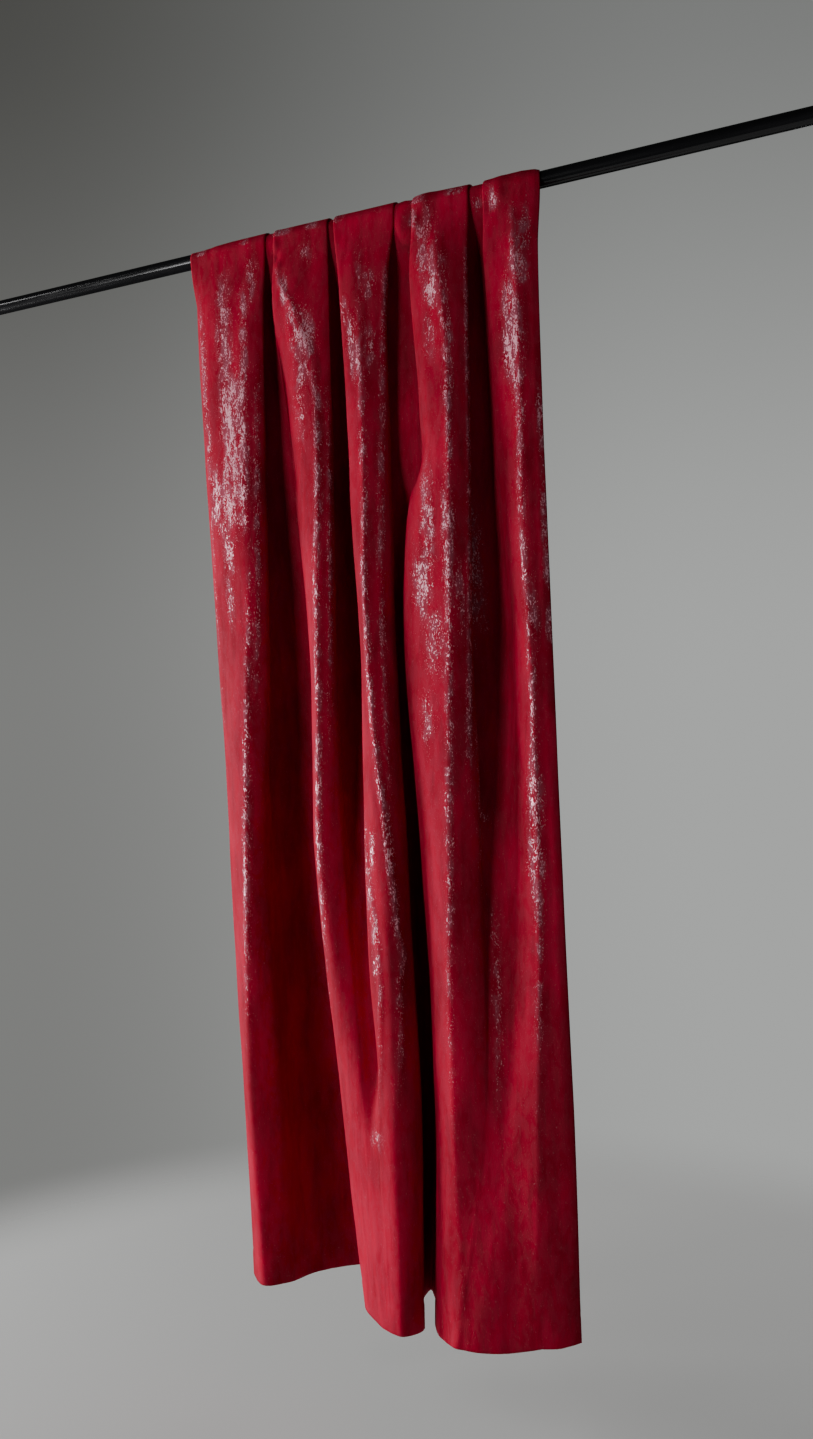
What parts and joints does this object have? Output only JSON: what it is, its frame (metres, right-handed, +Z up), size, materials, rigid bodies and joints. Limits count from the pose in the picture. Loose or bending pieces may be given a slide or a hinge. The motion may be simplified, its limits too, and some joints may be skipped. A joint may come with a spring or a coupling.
{
  "type": "velvet drape over a rod",
  "caption": "Length of velvet hung over a slim round rod: a long pleated front with deep uneven folds and a shorter panel behind.",
  "frame": {"origin": "the rod's axis at the middle of the rod, which is the middle of the cloth across", "axes": "+X along the rod to the end on the viewer's right, -Y towards the side that the long panel hangs on, +Z up"},
  "size_m": [1.8, 0.2597, 1.908],
  "materials": {
    "red_velvet": "foiled velvet",
    "black_rod": "satin"
  },
  "bodies": {
    "root": {"drape": "red_velvet", "rod": "black_rod"}
  },
  "joints": []
}
